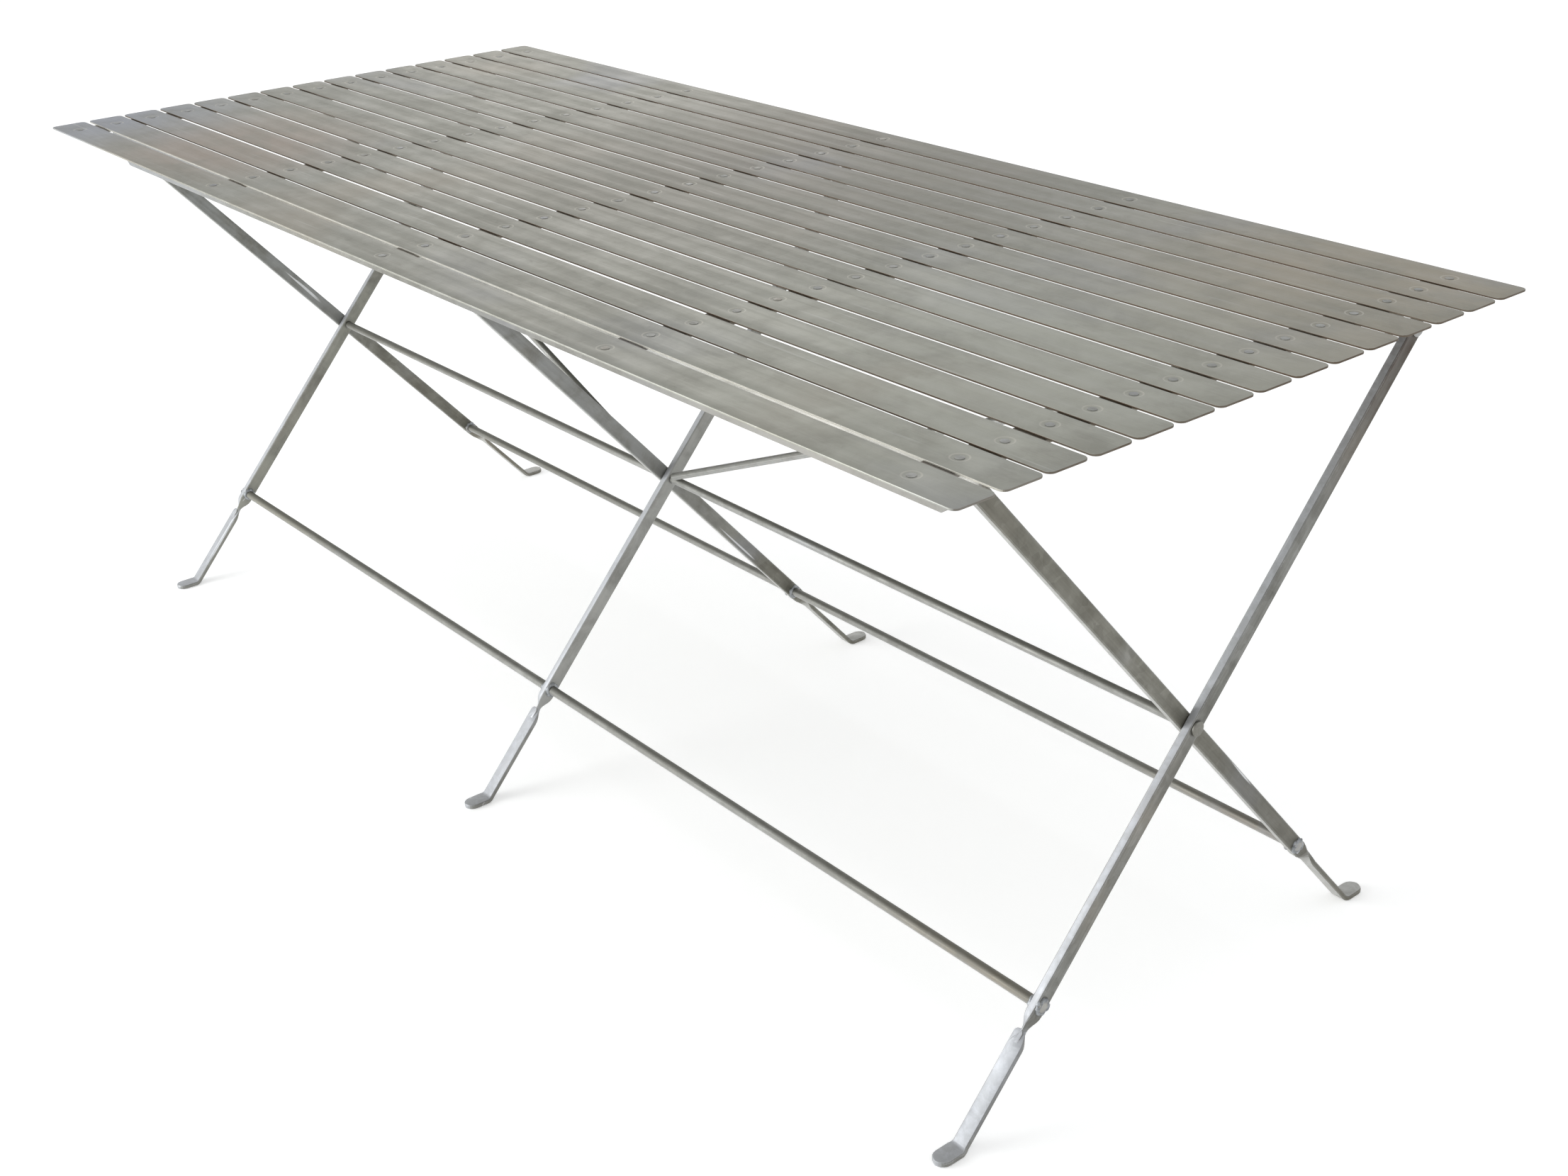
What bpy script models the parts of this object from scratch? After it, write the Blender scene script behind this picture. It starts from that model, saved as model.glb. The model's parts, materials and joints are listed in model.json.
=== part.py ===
"""Folding garden table: slatted steel top on two crossed leg frames.

The table folds flat. The hinged frame swings on three lugs behind the front rail, the
resting frame is pivoted to it half way up, and its top rod carries three rest plates
under the back of the top. Two round braces run from the ends of the top down to the
pivot rod.

Axes: X along the slats, Y from the front edge to the back edge, Z up. The origin is on
the floor under the middle of the top. All sizes are in metres.
"""
import math

import bmesh
import bpy
from mathutils import Matrix, Vector

# ---------------------------------------------------------------- overall sizes
TOP_LENGTH = 1.90
TOP_HEIGHT = 0.745
GAP = 0.0003

# ---------------------------------------------------------------- slats
SLAT_COUNT = 15
SLAT_WIDTH = 0.0502
SLAT_PITCH = 0.0554
SLAT_THICKNESS = 0.002
SLAT_CORNER = 0.009
SLAT_CORNER_STEPS = 4
SLAT_DRIFT = (0.0, 0.8, -0.1, 0.7, 0.3, 0.5, -0.3, -0.1, -0.3, -0.1, 0.1, -0.2, 0.1, -0.1, 0.0)
DRIFT_UNIT = 0.001

# ---------------------------------------------------------------- battens and front rail
BATTEN_WIDTH = 0.040
BATTEN_THICKNESS = 0.004
BATTEN_LENGTH = 0.806
BATTEN_CORNER = 0.004
BATTEN_CORNER_STEPS = 2
BATTEN_OFFSET = -0.015
RAIL_Y = -0.338
RAIL_THICKNESS = 0.004
RAIL_HALF_LENGTH = 0.905
RAIL_BOTTOM = 0.691
RAIL_CUT_LENGTH = 0.046
RAIL_CUT_HEIGHT = 0.030

# ---------------------------------------------------------------- leg frames
FRAME_X = (-0.888, 0.0, 0.888)
FRAME_NAMES = ("left", "middle", "right")
BAR_WIDTH = 0.019
BAR_THICKNESS = 0.010
BAR_CHAMFER = 0.0012
SHANK_THICKNESS = 0.006
TAB_WIDTH = 0.023
TAB_LENGTH = 0.033
TAB_BEND_RADIUS = 0.009
TAB_BEND_STEPS = 6
TWIST_START = 0.332
TWIST_END = 0.372
TWIST_STEPS = 10
PIVOT_STRAIGHT = 0.020
TIP_ANGLES = (84.0, 66.0, 48.0, 32.0, 16.0, 0.0)
TAB_ANGLES = (0.0, 20.0, 38.0, 54.0, 70.0, 84.0)
TIP_NARROWEST = 0.10
CHAMFER_LIMIT = 0.45
PIVOT_Y = -0.015
PIVOT_Z = 0.365
LEG_TOP_Z = 0.716
HINGED_SLOPE = 1.140
RESTING_SLOPE = 1.114
LOW_ROD_DISTANCE = 0.322

# ---------------------------------------------------------------- round parts
PIVOT_ROD_RADIUS = 0.0055
LOW_ROD_RADIUS = 0.006
TOP_ROD_RADIUS = 0.006
HINGE_PIN_RADIUS = 0.004
HOLE_CLEARANCE = 0.0004
HEAD_THICKNESS = 0.0025
HEAD_EDGE = 0.003
HEAD_CROWN = ((0.55, 1.0), (0.85, 0.75), (1.0, 0.30))
WASHER_EDGE = 0.003
WASHER_THICKNESS = 0.0022
ROUND_STEPS = 24
HOLE_STEPS = 32
DRILL_DEPTH = 0.06

# ---------------------------------------------------------------- braces
BRACE_RADIUS = 0.005
BRACE_HINGE_X = 0.862
BRACE_HINGE_Z = 0.724
BRACE_TIP_X = 0.022
BRACE_TIP_Z = 0.3738
BRACE_Y = -0.0216
BRACE_EYE_REACH = 0.014
BRACE_BEND_RADIUS = 0.0055
BRACE_BEND_STEPS = 5
BRACE_ROUNDNESS = 4

# ---------------------------------------------------------------- lugs, rest plates, ears
PLATE_THICKNESS = 0.004
PLATE_X_OFFSET = -0.0131
LUG_RADIUS = 0.012
LUG_HALF_WIDTH_TOP = 0.0125
ARC_STEPS = 10
REST_FRONT = 0.022
REST_BACK = 0.024
REST_LIP_BOTTOM = 0.706
REST_FRONT_CUT = 0.005
REST_MOUTH_CUT = 0.003
EAR_THICKNESS = 0.003
EAR_SPACING = 0.0018
EAR_RADIUS = 0.010
EAR_STRAP_X = 0.050
EAR_STRAP_Y = 0.026
EAR_STRAP_THICKNESS = 0.003
EAR_STRAP_CORNER = 0.005
EAR_STRAP_STEPS = 4
EAR_LEFT_SHIFT = 0.008

# ---------------------------------------------------------------- derived levels
SLAT_BOTTOM = TOP_HEIGHT - SLAT_THICKNESS
BATTEN_TOP = SLAT_BOTTOM - GAP
BATTEN_BOTTOM = BATTEN_TOP - BATTEN_THICKNESS
UNDER_BATTEN = BATTEN_BOTTOM - GAP
HINGED_TOP_Y = PIVOT_Y - (LEG_TOP_Z - PIVOT_Z) / HINGED_SLOPE
RESTING_TOP_Y = PIVOT_Y + (LEG_TOP_Z - PIVOT_Z) / RESTING_SLOPE
HINGED_ANGLE = math.atan(HINGED_SLOPE)
RESTING_ANGLE = math.atan(RESTING_SLOPE)

# ---------------------------------------------------------------- mesh making
MERGE_DISTANCE = 0.00002
SHARP_ANGLE = math.radians(35.0)

# ---------------------------------------------------------------- finishes
GALVANISED = (0.300, 0.300, 0.285)
GALVANISED_DARK = (0.170, 0.165, 0.140)
ROUGH_ZINC = 0.52
METAL = 0.85


def clear_scene():
    """Remove every object that the scene starts with."""
    for item in list(bpy.data.objects):
        bpy.data.objects.remove(item, do_unlink=True)


def new_collection(name):
    """Make a collection under the scene's own."""
    group = bpy.data.collections.new(name)
    bpy.context.scene.collection.children.link(group)
    return group


def finish_of(name, colour, roughness=ROUGH_ZINC, metallic=METAL):
    """Make one Principled material for one piece."""
    material = bpy.data.materials.new(name + "_finish")
    material.use_nodes = True
    shader = material.node_tree.nodes["Principled BSDF"]
    shader.inputs["Base Color"].default_value = (*colour, 1.0)
    shader.inputs["Roughness"].default_value = roughness
    shader.inputs["Metallic"].default_value = metallic
    return material


def place(name, mesh, group, location=(0.0, 0.0, 0.0), rotation=(0.0, 0.0, 0.0), parent=None,
          colour=GALVANISED):
    """Link a mesh as a named object, set its place, parent and finish."""
    item = bpy.data.objects.new(name, mesh)
    group.objects.link(item)
    item.location = location
    item.rotation_euler = rotation
    if parent is not None:
        item.parent = parent
    mesh.materials.append(finish_of(name, colour))
    return item


def empty_at(name, location, group, parent=None):
    """Make an empty that marks a joint's axis."""
    item = bpy.data.objects.new(name, None)
    group.objects.link(item)
    item.location = location
    if parent is not None:
        item.parent = parent
    return item


def mesh_from(bm, name, smooth=False):
    """Turn a bmesh into a mesh, shaded smooth with sharp edges kept if asked."""
    bmesh.ops.recalc_face_normals(bm, faces=bm.faces)
    mesh = bpy.data.meshes.new(name)
    bm.to_mesh(mesh)
    bm.free()
    if smooth:
        mesh.shade_smooth()
        mesh.set_sharp_from_angle(angle=SHARP_ANGLE)
    return mesh


def box_mesh(name, size, corner=0.0, steps=1):
    """A box centred on its origin, its four upright edges rounded by corner."""
    bm = bmesh.new()
    bmesh.ops.create_cube(bm, size=1.0, matrix=Matrix.Diagonal((*size, 1.0)))
    if corner > 0.0:
        upright = [e for e in bm.edges if abs(e.verts[0].co.z - e.verts[1].co.z) > size[2] * 0.5]
        bmesh.ops.bevel(bm, geom=upright, offset=corner, segments=steps, profile=0.5,
                        affect="EDGES", clamp_overlap=True)
    return mesh_from(bm, name)


def outline_mesh(name, outline, thickness, holes=()):
    """A flat plate from a 2D outline with round holes, lying in XY, centred in thickness."""
    curve = bpy.data.curves.new(name + "_outline", "CURVE")
    curve.dimensions = "2D"
    curve.fill_mode = "BOTH"
    curve.extrude = thickness * 0.5
    loops = [outline]
    for centre, radius in holes:
        loops.append(circle_points(centre, radius, HOLE_STEPS))
    for loop in loops:
        spline = curve.splines.new("POLY")
        spline.points.add(len(loop) - 1)
        for point, (x, y) in zip(spline.points, loop):
            point.co = (x, y, 0.0, 1.0)
        spline.use_cyclic_u = True
    return curve_to_mesh(name, curve)


def curve_to_mesh(name, curve):
    """Turn a curve into a closed mesh and drop the curve."""
    item = bpy.data.objects.new(name + "_curve", curve)
    bpy.context.scene.collection.objects.link(item)
    view = bpy.context.evaluated_depsgraph_get()
    mesh = bpy.data.meshes.new_from_object(item.evaluated_get(view))
    bpy.data.objects.remove(item, do_unlink=True)
    bpy.data.curves.remove(curve)
    bm = bmesh.new()
    bm.from_mesh(mesh)
    bmesh.ops.remove_doubles(bm, verts=bm.verts, dist=MERGE_DISTANCE)
    bpy.data.meshes.remove(mesh)
    return mesh_from(bm, name)


def circle_points(centre, radius, steps):
    """Points of a circle, as (x, y)."""
    points = []
    for index in range(steps):
        angle = 2.0 * math.pi * index / steps
        points.append((centre[0] + radius * math.cos(angle), centre[1] + radius * math.sin(angle)))
    return points


def arc_points(centre, radius, start, end, steps):
    """Points of an arc from start to end degrees, as (x, y)."""
    points = []
    for index in range(steps + 1):
        angle = math.radians(start + (end - start) * index / steps)
        points.append((centre[0] + radius * math.cos(angle), centre[1] + radius * math.sin(angle)))
    return points


# ---------------------------------------------------------------- rods and pins

def turned_object(name, profile, group, location, parent, colour=GALVANISED):
    """A turned piece: a profile of (radius, height) from top to bottom, its axis laid on X."""
    bm = bmesh.new()
    verts = [bm.verts.new((radius, 0.0, height)) for radius, height in profile]
    for first, second in zip(verts, verts[1:]):
        bm.edges.new((first, second))
    mesh = bpy.data.meshes.new(name)
    bm.to_mesh(mesh)
    bm.free()
    item = place(name, mesh, group, location, (0.0, math.pi / 2.0, 0.0), parent, colour)
    turn = item.modifiers.new("turn", "SCREW")
    turn.axis = "Z"
    turn.angle = 2.0 * math.pi
    turn.steps = ROUND_STEPS
    turn.render_steps = ROUND_STEPS
    turn.use_merge_vertices = True
    turn.merge_threshold = MERGE_DISTANCE
    turn.use_smooth_shade = True
    return item


def headed_profile(radius, low, high):
    """Profile of a rod that runs from low to high between two domed heads."""
    head = radius + HEAD_EDGE
    upper = [(0.0, high + HEAD_THICKNESS)]
    lower = [(0.0, low - HEAD_THICKNESS)]
    for wide, tall in HEAD_CROWN:
        upper.append((head * wide, high + HEAD_THICKNESS * tall))
        lower.append((head * wide, low - HEAD_THICKNESS * tall))
    upper += [(head, high + GAP), (radius, high + GAP)]
    lower += [(head, low - GAP), (radius, low - GAP)]
    return (*upper, *reversed(lower))


def plain_profile(radius, low, high):
    """Profile of a plain round piece from low to high."""
    return ((0.0, high), (radius, high), (radius, low), (0.0, low))


# ---------------------------------------------------------------- legs

class LegPath:
    """Centre line of one leg in its own upright plane, from its top end to its foot."""

    def __init__(self, top, angle, side):
        self.top = Vector(top)
        self.side = side
        self.down = Vector((side * math.cos(angle), -math.sin(angle)))
        self.angle = angle
        pivot = Vector((PIVOT_Y, PIVOT_Z))
        self.to_pivot = (pivot - self.top).length
        drop = self.top.y - SHANK_THICKNESS * 0.5
        self.to_corner = drop / math.sin(angle)

    def straight(self, distance):
        """Point on the straight part, at a distance from the top hole."""
        return self.top + self.down * distance


def section(bm, centre, along, width, thickness, twist, plane_x):
    """One ring of eight corners across the leg."""
    forward = Vector((0.0, along.x, along.y))
    across = Vector((0.0, -along.y, along.x))
    sideways = Vector((1.0, 0.0, 0.0))
    wide = across * math.cos(twist) + sideways * math.sin(twist)
    thin = forward.cross(wide)
    half_w = width * 0.5
    half_t = thickness * 0.5
    cut = min(BAR_CHAMFER, half_w * CHAMFER_LIMIT, half_t * CHAMFER_LIMIT)
    corners = (
        (half_w, half_t - cut),
        (half_w - cut, half_t),
        (-half_w + cut, half_t),
        (-half_w, half_t - cut),
        (-half_w, -half_t + cut),
        (-half_w + cut, -half_t),
        (half_w - cut, -half_t),
        (half_w, -half_t + cut),
    )
    middle = Vector((plane_x, centre.x, centre.y))
    return [bm.verts.new(middle + wide * a + thin * b) for a, b in corners]


def leg_stations(path):
    """Stations of the loft: centre, direction, width, thickness and twist."""
    stations = []
    half = BAR_WIDTH * 0.5
    for angle in TIP_ANGLES:
        turn = math.radians(angle)
        width = BAR_WIDTH * max(math.cos(turn), TIP_NARROWEST)
        stations.append((path.straight(-half * math.sin(turn)), path.down, width, BAR_THICKNESS, 0.0))
    for reach in (-PIVOT_STRAIGHT, PIVOT_STRAIGHT):
        point = path.straight(path.to_pivot + reach)
        stations.append((point, path.down, BAR_WIDTH, BAR_THICKNESS, 0.0))
    for step in range(TWIST_STEPS + 1):
        part = step / TWIST_STEPS
        ease = part * part * (3.0 - 2.0 * part)
        distance = path.to_pivot + TWIST_START + (TWIST_END - TWIST_START) * part
        thickness = BAR_THICKNESS + (SHANK_THICKNESS - BAR_THICKNESS) * ease
        stations.append((path.straight(distance), path.down, BAR_WIDTH, thickness, ease * math.pi / 2.0))
    outward = Vector((path.side, 0.0))
    corner = path.straight(path.to_corner)
    turn_angle = path.angle
    setback = TAB_BEND_RADIUS * math.tan(turn_angle * 0.5)
    centre = corner + outward * setback + Vector((0.0, TAB_BEND_RADIUS))
    for step in range(TAB_BEND_STEPS + 1):
        part = step / TAB_BEND_STEPS
        angle = turn_angle * (1.0 - part)
        along = Vector((path.side * math.cos(angle), -math.sin(angle)))
        normal = Vector((-path.side * math.sin(angle), -math.cos(angle)))
        width = BAR_WIDTH + (TAB_WIDTH - BAR_WIDTH) * part
        stations.append((centre + normal * TAB_BEND_RADIUS, along, width, SHANK_THICKNESS, math.pi / 2.0))
    half_tab = TAB_WIDTH * 0.5
    for angle in TAB_ANGLES:
        turn = math.radians(angle)
        point = corner + outward * (TAB_LENGTH - half_tab + half_tab * math.sin(turn))
        width = TAB_WIDTH * max(math.cos(turn), TIP_NARROWEST)
        stations.append((point, outward, width, SHANK_THICKNESS, math.pi / 2.0))
    return stations


def leg_mesh(name, path, plane_x):
    """Loft one leg bar along its centre line."""
    bm = bmesh.new()
    rings = []
    for centre, along, width, thickness, twist in leg_stations(path):
        rings.append(section(bm, centre, along, width, thickness, twist, plane_x))
    bmesh.ops.contextual_create(bm, geom=rings[0])
    bmesh.ops.contextual_create(bm, geom=rings[-1])
    count = len(rings[0])
    for ring, following in zip(rings, rings[1:]):
        for index in range(count):
            after = (index + 1) % count
            bm.faces.new((ring[index], ring[after], following[after], following[index]))
    return mesh_from(bm, name)


def drill_along_x(item, holes, cutters, origin):
    """Cut round holes through an object with cylinders laid on X."""
    for index, (y, z, radius) in enumerate(holes):
        bm = bmesh.new()
        bmesh.ops.create_cone(bm, cap_ends=True, segments=HOLE_STEPS, radius1=radius, radius2=radius,
                              depth=DRILL_DEPTH)
        cutter = bpy.data.objects.new("%s_drill_%d" % (item.name, index), mesh_from(bm, "drill"))
        cutters.objects.link(cutter)
        cutter.parent = item
        cutter.location = (origin, y, z)
        cutter.rotation_euler = (0.0, math.pi / 2.0, 0.0)
        cutter.display_type = "WIRE"
        cutter.hide_render = True
        cut = item.modifiers.new("hole_%d" % index, "BOOLEAN")
        cut.operation = "DIFFERENCE"
        cut.solver = "EXACT"
        cut.object = cutter


def build_leg(name, path, frame_x, side_x, group, cutters, parent, rods):
    """One leg bar, drilled for its rods, hung from the empty at its joint."""
    axis = parent.matrix_world.translation
    plane_x = frame_x + side_x * (BAR_THICKNESS * 0.5 + GAP)
    mesh = leg_mesh(name, path, plane_x)
    mesh.transform(Matrix.Translation(-axis))
    item = place(name, mesh, group, parent=parent)
    holes = []
    for y, z, radius in rods:
        holes.append((y - axis.y, z - axis.z, radius + HOLE_CLEARANCE))
    drill_along_x(item, holes, cutters, plane_x - axis.x)
    return item


# ---------------------------------------------------------------- top

def build_top(group):
    """Slats, battens and the front rail."""
    first = -SLAT_PITCH * (SLAT_COUNT - 1) * 0.5
    shared = box_mesh("slat", (TOP_LENGTH, SLAT_WIDTH, SLAT_THICKNESS), SLAT_CORNER, SLAT_CORNER_STEPS)
    z = TOP_HEIGHT - SLAT_THICKNESS * 0.5
    for index, drift in enumerate(SLAT_DRIFT):
        y = first + SLAT_PITCH * index + drift * DRIFT_UNIT
        place("slat_%02d" % (index + 1), shared.copy(), group, (0.0, y, z))
    batten_z = BATTEN_TOP - BATTEN_THICKNESS * 0.5
    centres = batten_centres()
    for name, x in zip(("left_end", "left", "middle", "right", "right_end"), centres):
        mesh = box_mesh(name, (BATTEN_WIDTH, BATTEN_LENGTH, BATTEN_THICKNESS), BATTEN_CORNER,
                        BATTEN_CORNER_STEPS)
        place("batten_" + name, mesh, group, (x, 0.0, batten_z), colour=GALVANISED_DARK)
    half = RAIL_HALF_LENGTH
    outline = (
        (-half + RAIL_CUT_LENGTH, RAIL_BOTTOM),
        (half - RAIL_CUT_LENGTH, RAIL_BOTTOM),
        (half, RAIL_BOTTOM + RAIL_CUT_HEIGHT),
        (half, UNDER_BATTEN),
        (-half, UNDER_BATTEN),
        (-half, RAIL_BOTTOM + RAIL_CUT_HEIGHT),
    )
    mesh = outline_mesh("front_rail", outline, RAIL_THICKNESS)
    place("front_rail", mesh, group, (0.0, RAIL_Y, 0.0), (math.pi / 2.0, 0.0, 0.0))


def batten_centres():
    """X of the five battens: one by each leg frame and one half way between."""
    left, middle, right = (x + BATTEN_OFFSET for x in FRAME_X)
    return (left, (left + middle) * 0.5, middle, (middle + right) * 0.5, right)


def plate_outline_lug():
    """Outline of a hinge lug, as (y, z): straight sides and a round lower end."""
    centre = (HINGED_TOP_Y, LEG_TOP_Z)
    outline = [(HINGED_TOP_Y + LUG_HALF_WIDTH_TOP, UNDER_BATTEN),
               (HINGED_TOP_Y - LUG_HALF_WIDTH_TOP, UNDER_BATTEN)]
    outline += arc_points(centre, LUG_RADIUS, 180.0, 360.0, ARC_STEPS)
    return outline


def plate_outline_rest():
    """Outline of a rest plate, as (y, z): a saddle over the top rod with a hook before it."""
    saddle = TOP_ROD_RADIUS + HOLE_CLEARANCE
    centre = (RESTING_TOP_Y, LEG_TOP_Z)
    front = RESTING_TOP_Y - REST_FRONT
    back = RESTING_TOP_Y + REST_BACK
    mouth = RESTING_TOP_Y - saddle
    outline = [(back, UNDER_BATTEN), (front, UNDER_BATTEN)]
    outline.append((front, REST_LIP_BOTTOM + REST_FRONT_CUT))
    outline.append((front + REST_FRONT_CUT, REST_LIP_BOTTOM))
    outline.append((mouth - REST_MOUTH_CUT, REST_LIP_BOTTOM))
    outline.append((mouth, REST_LIP_BOTTOM + REST_MOUTH_CUT))
    outline += arc_points(centre, saddle, 180.0, 90.0, ARC_STEPS)
    outline.append((back, LEG_TOP_Z + saddle))
    return outline


def upright_plate(name, outline, x, group, holes=()):
    """A plate that stands across the table: its outline is in Y and Z."""
    mesh = outline_mesh(name, outline, PLATE_THICKNESS, holes)
    return place(name, mesh, group, (x, 0.0, 0.0), (math.pi / 2.0, 0.0, math.pi / 2.0),
                 colour=GALVANISED_DARK)


def build_lugs(group):
    """Hinge lugs with their pins, and the rest plates, one of each by each leg frame."""
    for label, frame_x in zip(FRAME_NAMES, FRAME_X):
        x = frame_x + PLATE_X_OFFSET
        hole = ((HINGED_TOP_Y, LEG_TOP_Z), HINGE_PIN_RADIUS + HOLE_CLEARANCE)
        upright_plate("hinge_lug_" + label, plate_outline_lug(), x, group, (hole,))
        upright_plate("rest_plate_" + label, plate_outline_rest(), x, group)
        low = x - PLATE_THICKNESS * 0.5 - frame_x
        turned_object("hinge_pin_" + label, headed_profile(HINGE_PIN_RADIUS, low, 0.0), group,
                      (frame_x, HINGED_TOP_Y, LEG_TOP_Z), None)


def build_ear(name, side, group):
    """A strap under the end of the top, with a drilled ear that carries a brace."""
    ear_y = BRACE_Y + BRACE_RADIUS + EAR_SPACING + EAR_THICKNESS * 0.5
    strap_x = side * (BRACE_HINGE_X + (0.0 if side > 0 else EAR_LEFT_SHIFT))
    ear_top = UNDER_BATTEN - EAR_STRAP_THICKNESS * 0.5
    strap = box_mesh(name, (EAR_STRAP_X, EAR_STRAP_Y, EAR_STRAP_THICKNESS), EAR_STRAP_CORNER,
                     EAR_STRAP_STEPS)
    item = place(name, strap, group, (strap_x, ear_y, ear_top), colour=GALVANISED_DARK)
    offset = side * BRACE_HINGE_X - strap_x
    drop = BRACE_HINGE_Z - ear_top
    outline = [(offset + EAR_RADIUS, 0.0), (offset - EAR_RADIUS, 0.0)]
    outline += arc_points((offset, drop), EAR_RADIUS, 180.0, 360.0, ARC_STEPS)
    hole = ((offset, drop), BRACE_RADIUS + HOLE_CLEARANCE)
    plate = outline_mesh(name + "_plate", outline, EAR_THICKNESS, (hole,))
    joined = bpy.data.objects.new(name + "_plate", plate)
    bpy.data.collections["cutters"].objects.link(joined)
    joined.parent = item
    joined.rotation_euler = (math.pi / 2.0, 0.0, 0.0)
    joined.display_type = "WIRE"
    joined.hide_render = True
    weld = item.modifiers.new("ear", "BOOLEAN")
    weld.operation = "UNION"
    weld.solver = "EXACT"
    weld.object = joined
    return item


def brace_points(side):
    """Centre line of a brace from its eye end to its tip, relative to its hinge."""
    run = Vector((-side * (BRACE_HINGE_X - BRACE_TIP_X), 0.0, BRACE_TIP_Z - BRACE_HINGE_Z))
    length = run.length
    along = run / length
    back = Vector((0.0, 1.0, 0.0))
    points = [back * BRACE_EYE_REACH]
    centre = back * BRACE_BEND_RADIUS + along * BRACE_BEND_RADIUS
    for step in range(BRACE_BEND_STEPS + 1):
        angle = math.pi / 2.0 * step / BRACE_BEND_STEPS
        radial = -along * math.cos(angle) - back * math.sin(angle)
        points.append(centre + radial * BRACE_BEND_RADIUS)
    points.append(along * length)
    return points


def build_brace(name, side, group, parent):
    """One round brace, bent at the eye end, hung from the empty at its hinge."""
    curve = bpy.data.curves.new(name, "CURVE")
    curve.dimensions = "3D"
    curve.bevel_depth = BRACE_RADIUS
    curve.bevel_resolution = BRACE_ROUNDNESS
    curve.use_fill_caps = True
    spline = curve.splines.new("POLY")
    points = brace_points(side)
    spline.points.add(len(points) - 1)
    for point, co in zip(spline.points, points):
        point.co = (*co, 1.0)
    return place(name, curve_to_mesh(name, curve), group, parent=parent)


# ---------------------------------------------------------------- assembly

def low_rod_place(path):
    """Where the low rod crosses a leg, as (y, z)."""
    point = path.straight(path.to_pivot + LOW_ROD_DISTANCE)
    return point.x, point.y


def build_table():
    """Build every piece in its open position."""
    group = new_collection("folding_garden_table")
    cutters = new_collection("cutters")
    build_top(group)
    build_lugs(group)

    hinge = empty_at("hinge_axis", (0.0, HINGED_TOP_Y, LEG_TOP_Z), group)
    pivot = empty_at("pivot_axis", (0.0, PIVOT_Y - HINGED_TOP_Y, PIVOT_Z - LEG_TOP_Z), group, hinge)
    bpy.context.view_layer.update()

    hinged = LegPath((HINGED_TOP_Y, LEG_TOP_Z), HINGED_ANGLE, 1.0)
    resting = LegPath((RESTING_TOP_Y, LEG_TOP_Z), RESTING_ANGLE, -1.0)
    pivot_hole = (PIVOT_Y, PIVOT_Z, PIVOT_ROD_RADIUS)
    hinged_rods = ((HINGED_TOP_Y, LEG_TOP_Z, HINGE_PIN_RADIUS), pivot_hole,
                   (*low_rod_place(hinged), LOW_ROD_RADIUS))
    resting_rods = ((RESTING_TOP_Y, LEG_TOP_Z, TOP_ROD_RADIUS), pivot_hole,
                    (*low_rod_place(resting), LOW_ROD_RADIUS))
    for label, frame_x in zip(FRAME_NAMES, FRAME_X):
        build_leg("hinged_leg_" + label, hinged, frame_x, -1.0, group, cutters, hinge, hinged_rods)
        build_leg("resting_leg_" + label, resting, frame_x, 1.0, group, cutters, pivot, resting_rods)

    bar = BAR_THICKNESS + GAP
    hinged_span = (FRAME_X[0] - bar, FRAME_X[2] - GAP)
    resting_span = (FRAME_X[0] + GAP, FRAME_X[2] + bar)
    both_span = (FRAME_X[0] - bar, FRAME_X[2] + bar)
    y, z = low_rod_place(hinged)
    turned_object("hinged_low_rod", headed_profile(LOW_ROD_RADIUS, *hinged_span), group,
                  (0.0, y - HINGED_TOP_Y, z - LEG_TOP_Z), hinge)
    pivot_place = (0.0, PIVOT_Y - HINGED_TOP_Y, PIVOT_Z - LEG_TOP_Z)
    low, high = both_span
    turned_object("pivot_rod", plain_profile(PIVOT_ROD_RADIUS, low - GAP, high + GAP), group,
                  pivot_place, hinge)
    washer = PIVOT_ROD_RADIUS + WASHER_EDGE
    for label, start in (("left", low - 2.0 * GAP - WASHER_THICKNESS), ("right", high + 2.0 * GAP)):
        turned_object("pivot_washer_" + label, plain_profile(washer, start, start + WASHER_THICKNESS),
                      group, pivot_place, hinge)
    y, z = low_rod_place(resting)
    turned_object("resting_low_rod", headed_profile(LOW_ROD_RADIUS, *resting_span), group,
                  (0.0, y - PIVOT_Y, z - PIVOT_Z), pivot)
    turned_object("resting_top_rod", headed_profile(TOP_ROD_RADIUS, *resting_span), group,
                  (0.0, RESTING_TOP_Y - PIVOT_Y, LEG_TOP_Z - PIVOT_Z), pivot)

    for label, side in (("left", -1.0), ("right", 1.0)):
        build_ear("brace_ear_" + label, side, group)
        axis = empty_at("brace_axis_" + label, (side * BRACE_HINGE_X, BRACE_Y, BRACE_HINGE_Z), group)
        build_brace("brace_" + label, side, group, axis)


clear_scene()
build_table()
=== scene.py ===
"""Looks of a folding garden table in galvanised steel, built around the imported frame.

The table has a slatted top, three crossed pairs of flat-bar legs, round rods that tie the legs
into two frames, and two diagonal braces under the top.
"""

import json
import logging
import math
import random
from collections.abc import Callable, Iterator, Sequence
from contextlib import contextmanager
from dataclasses import dataclass, field
from enum import Enum
from typing import ClassVar

import bmesh
import bpy
from mathutils import Matrix, Vector

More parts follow.
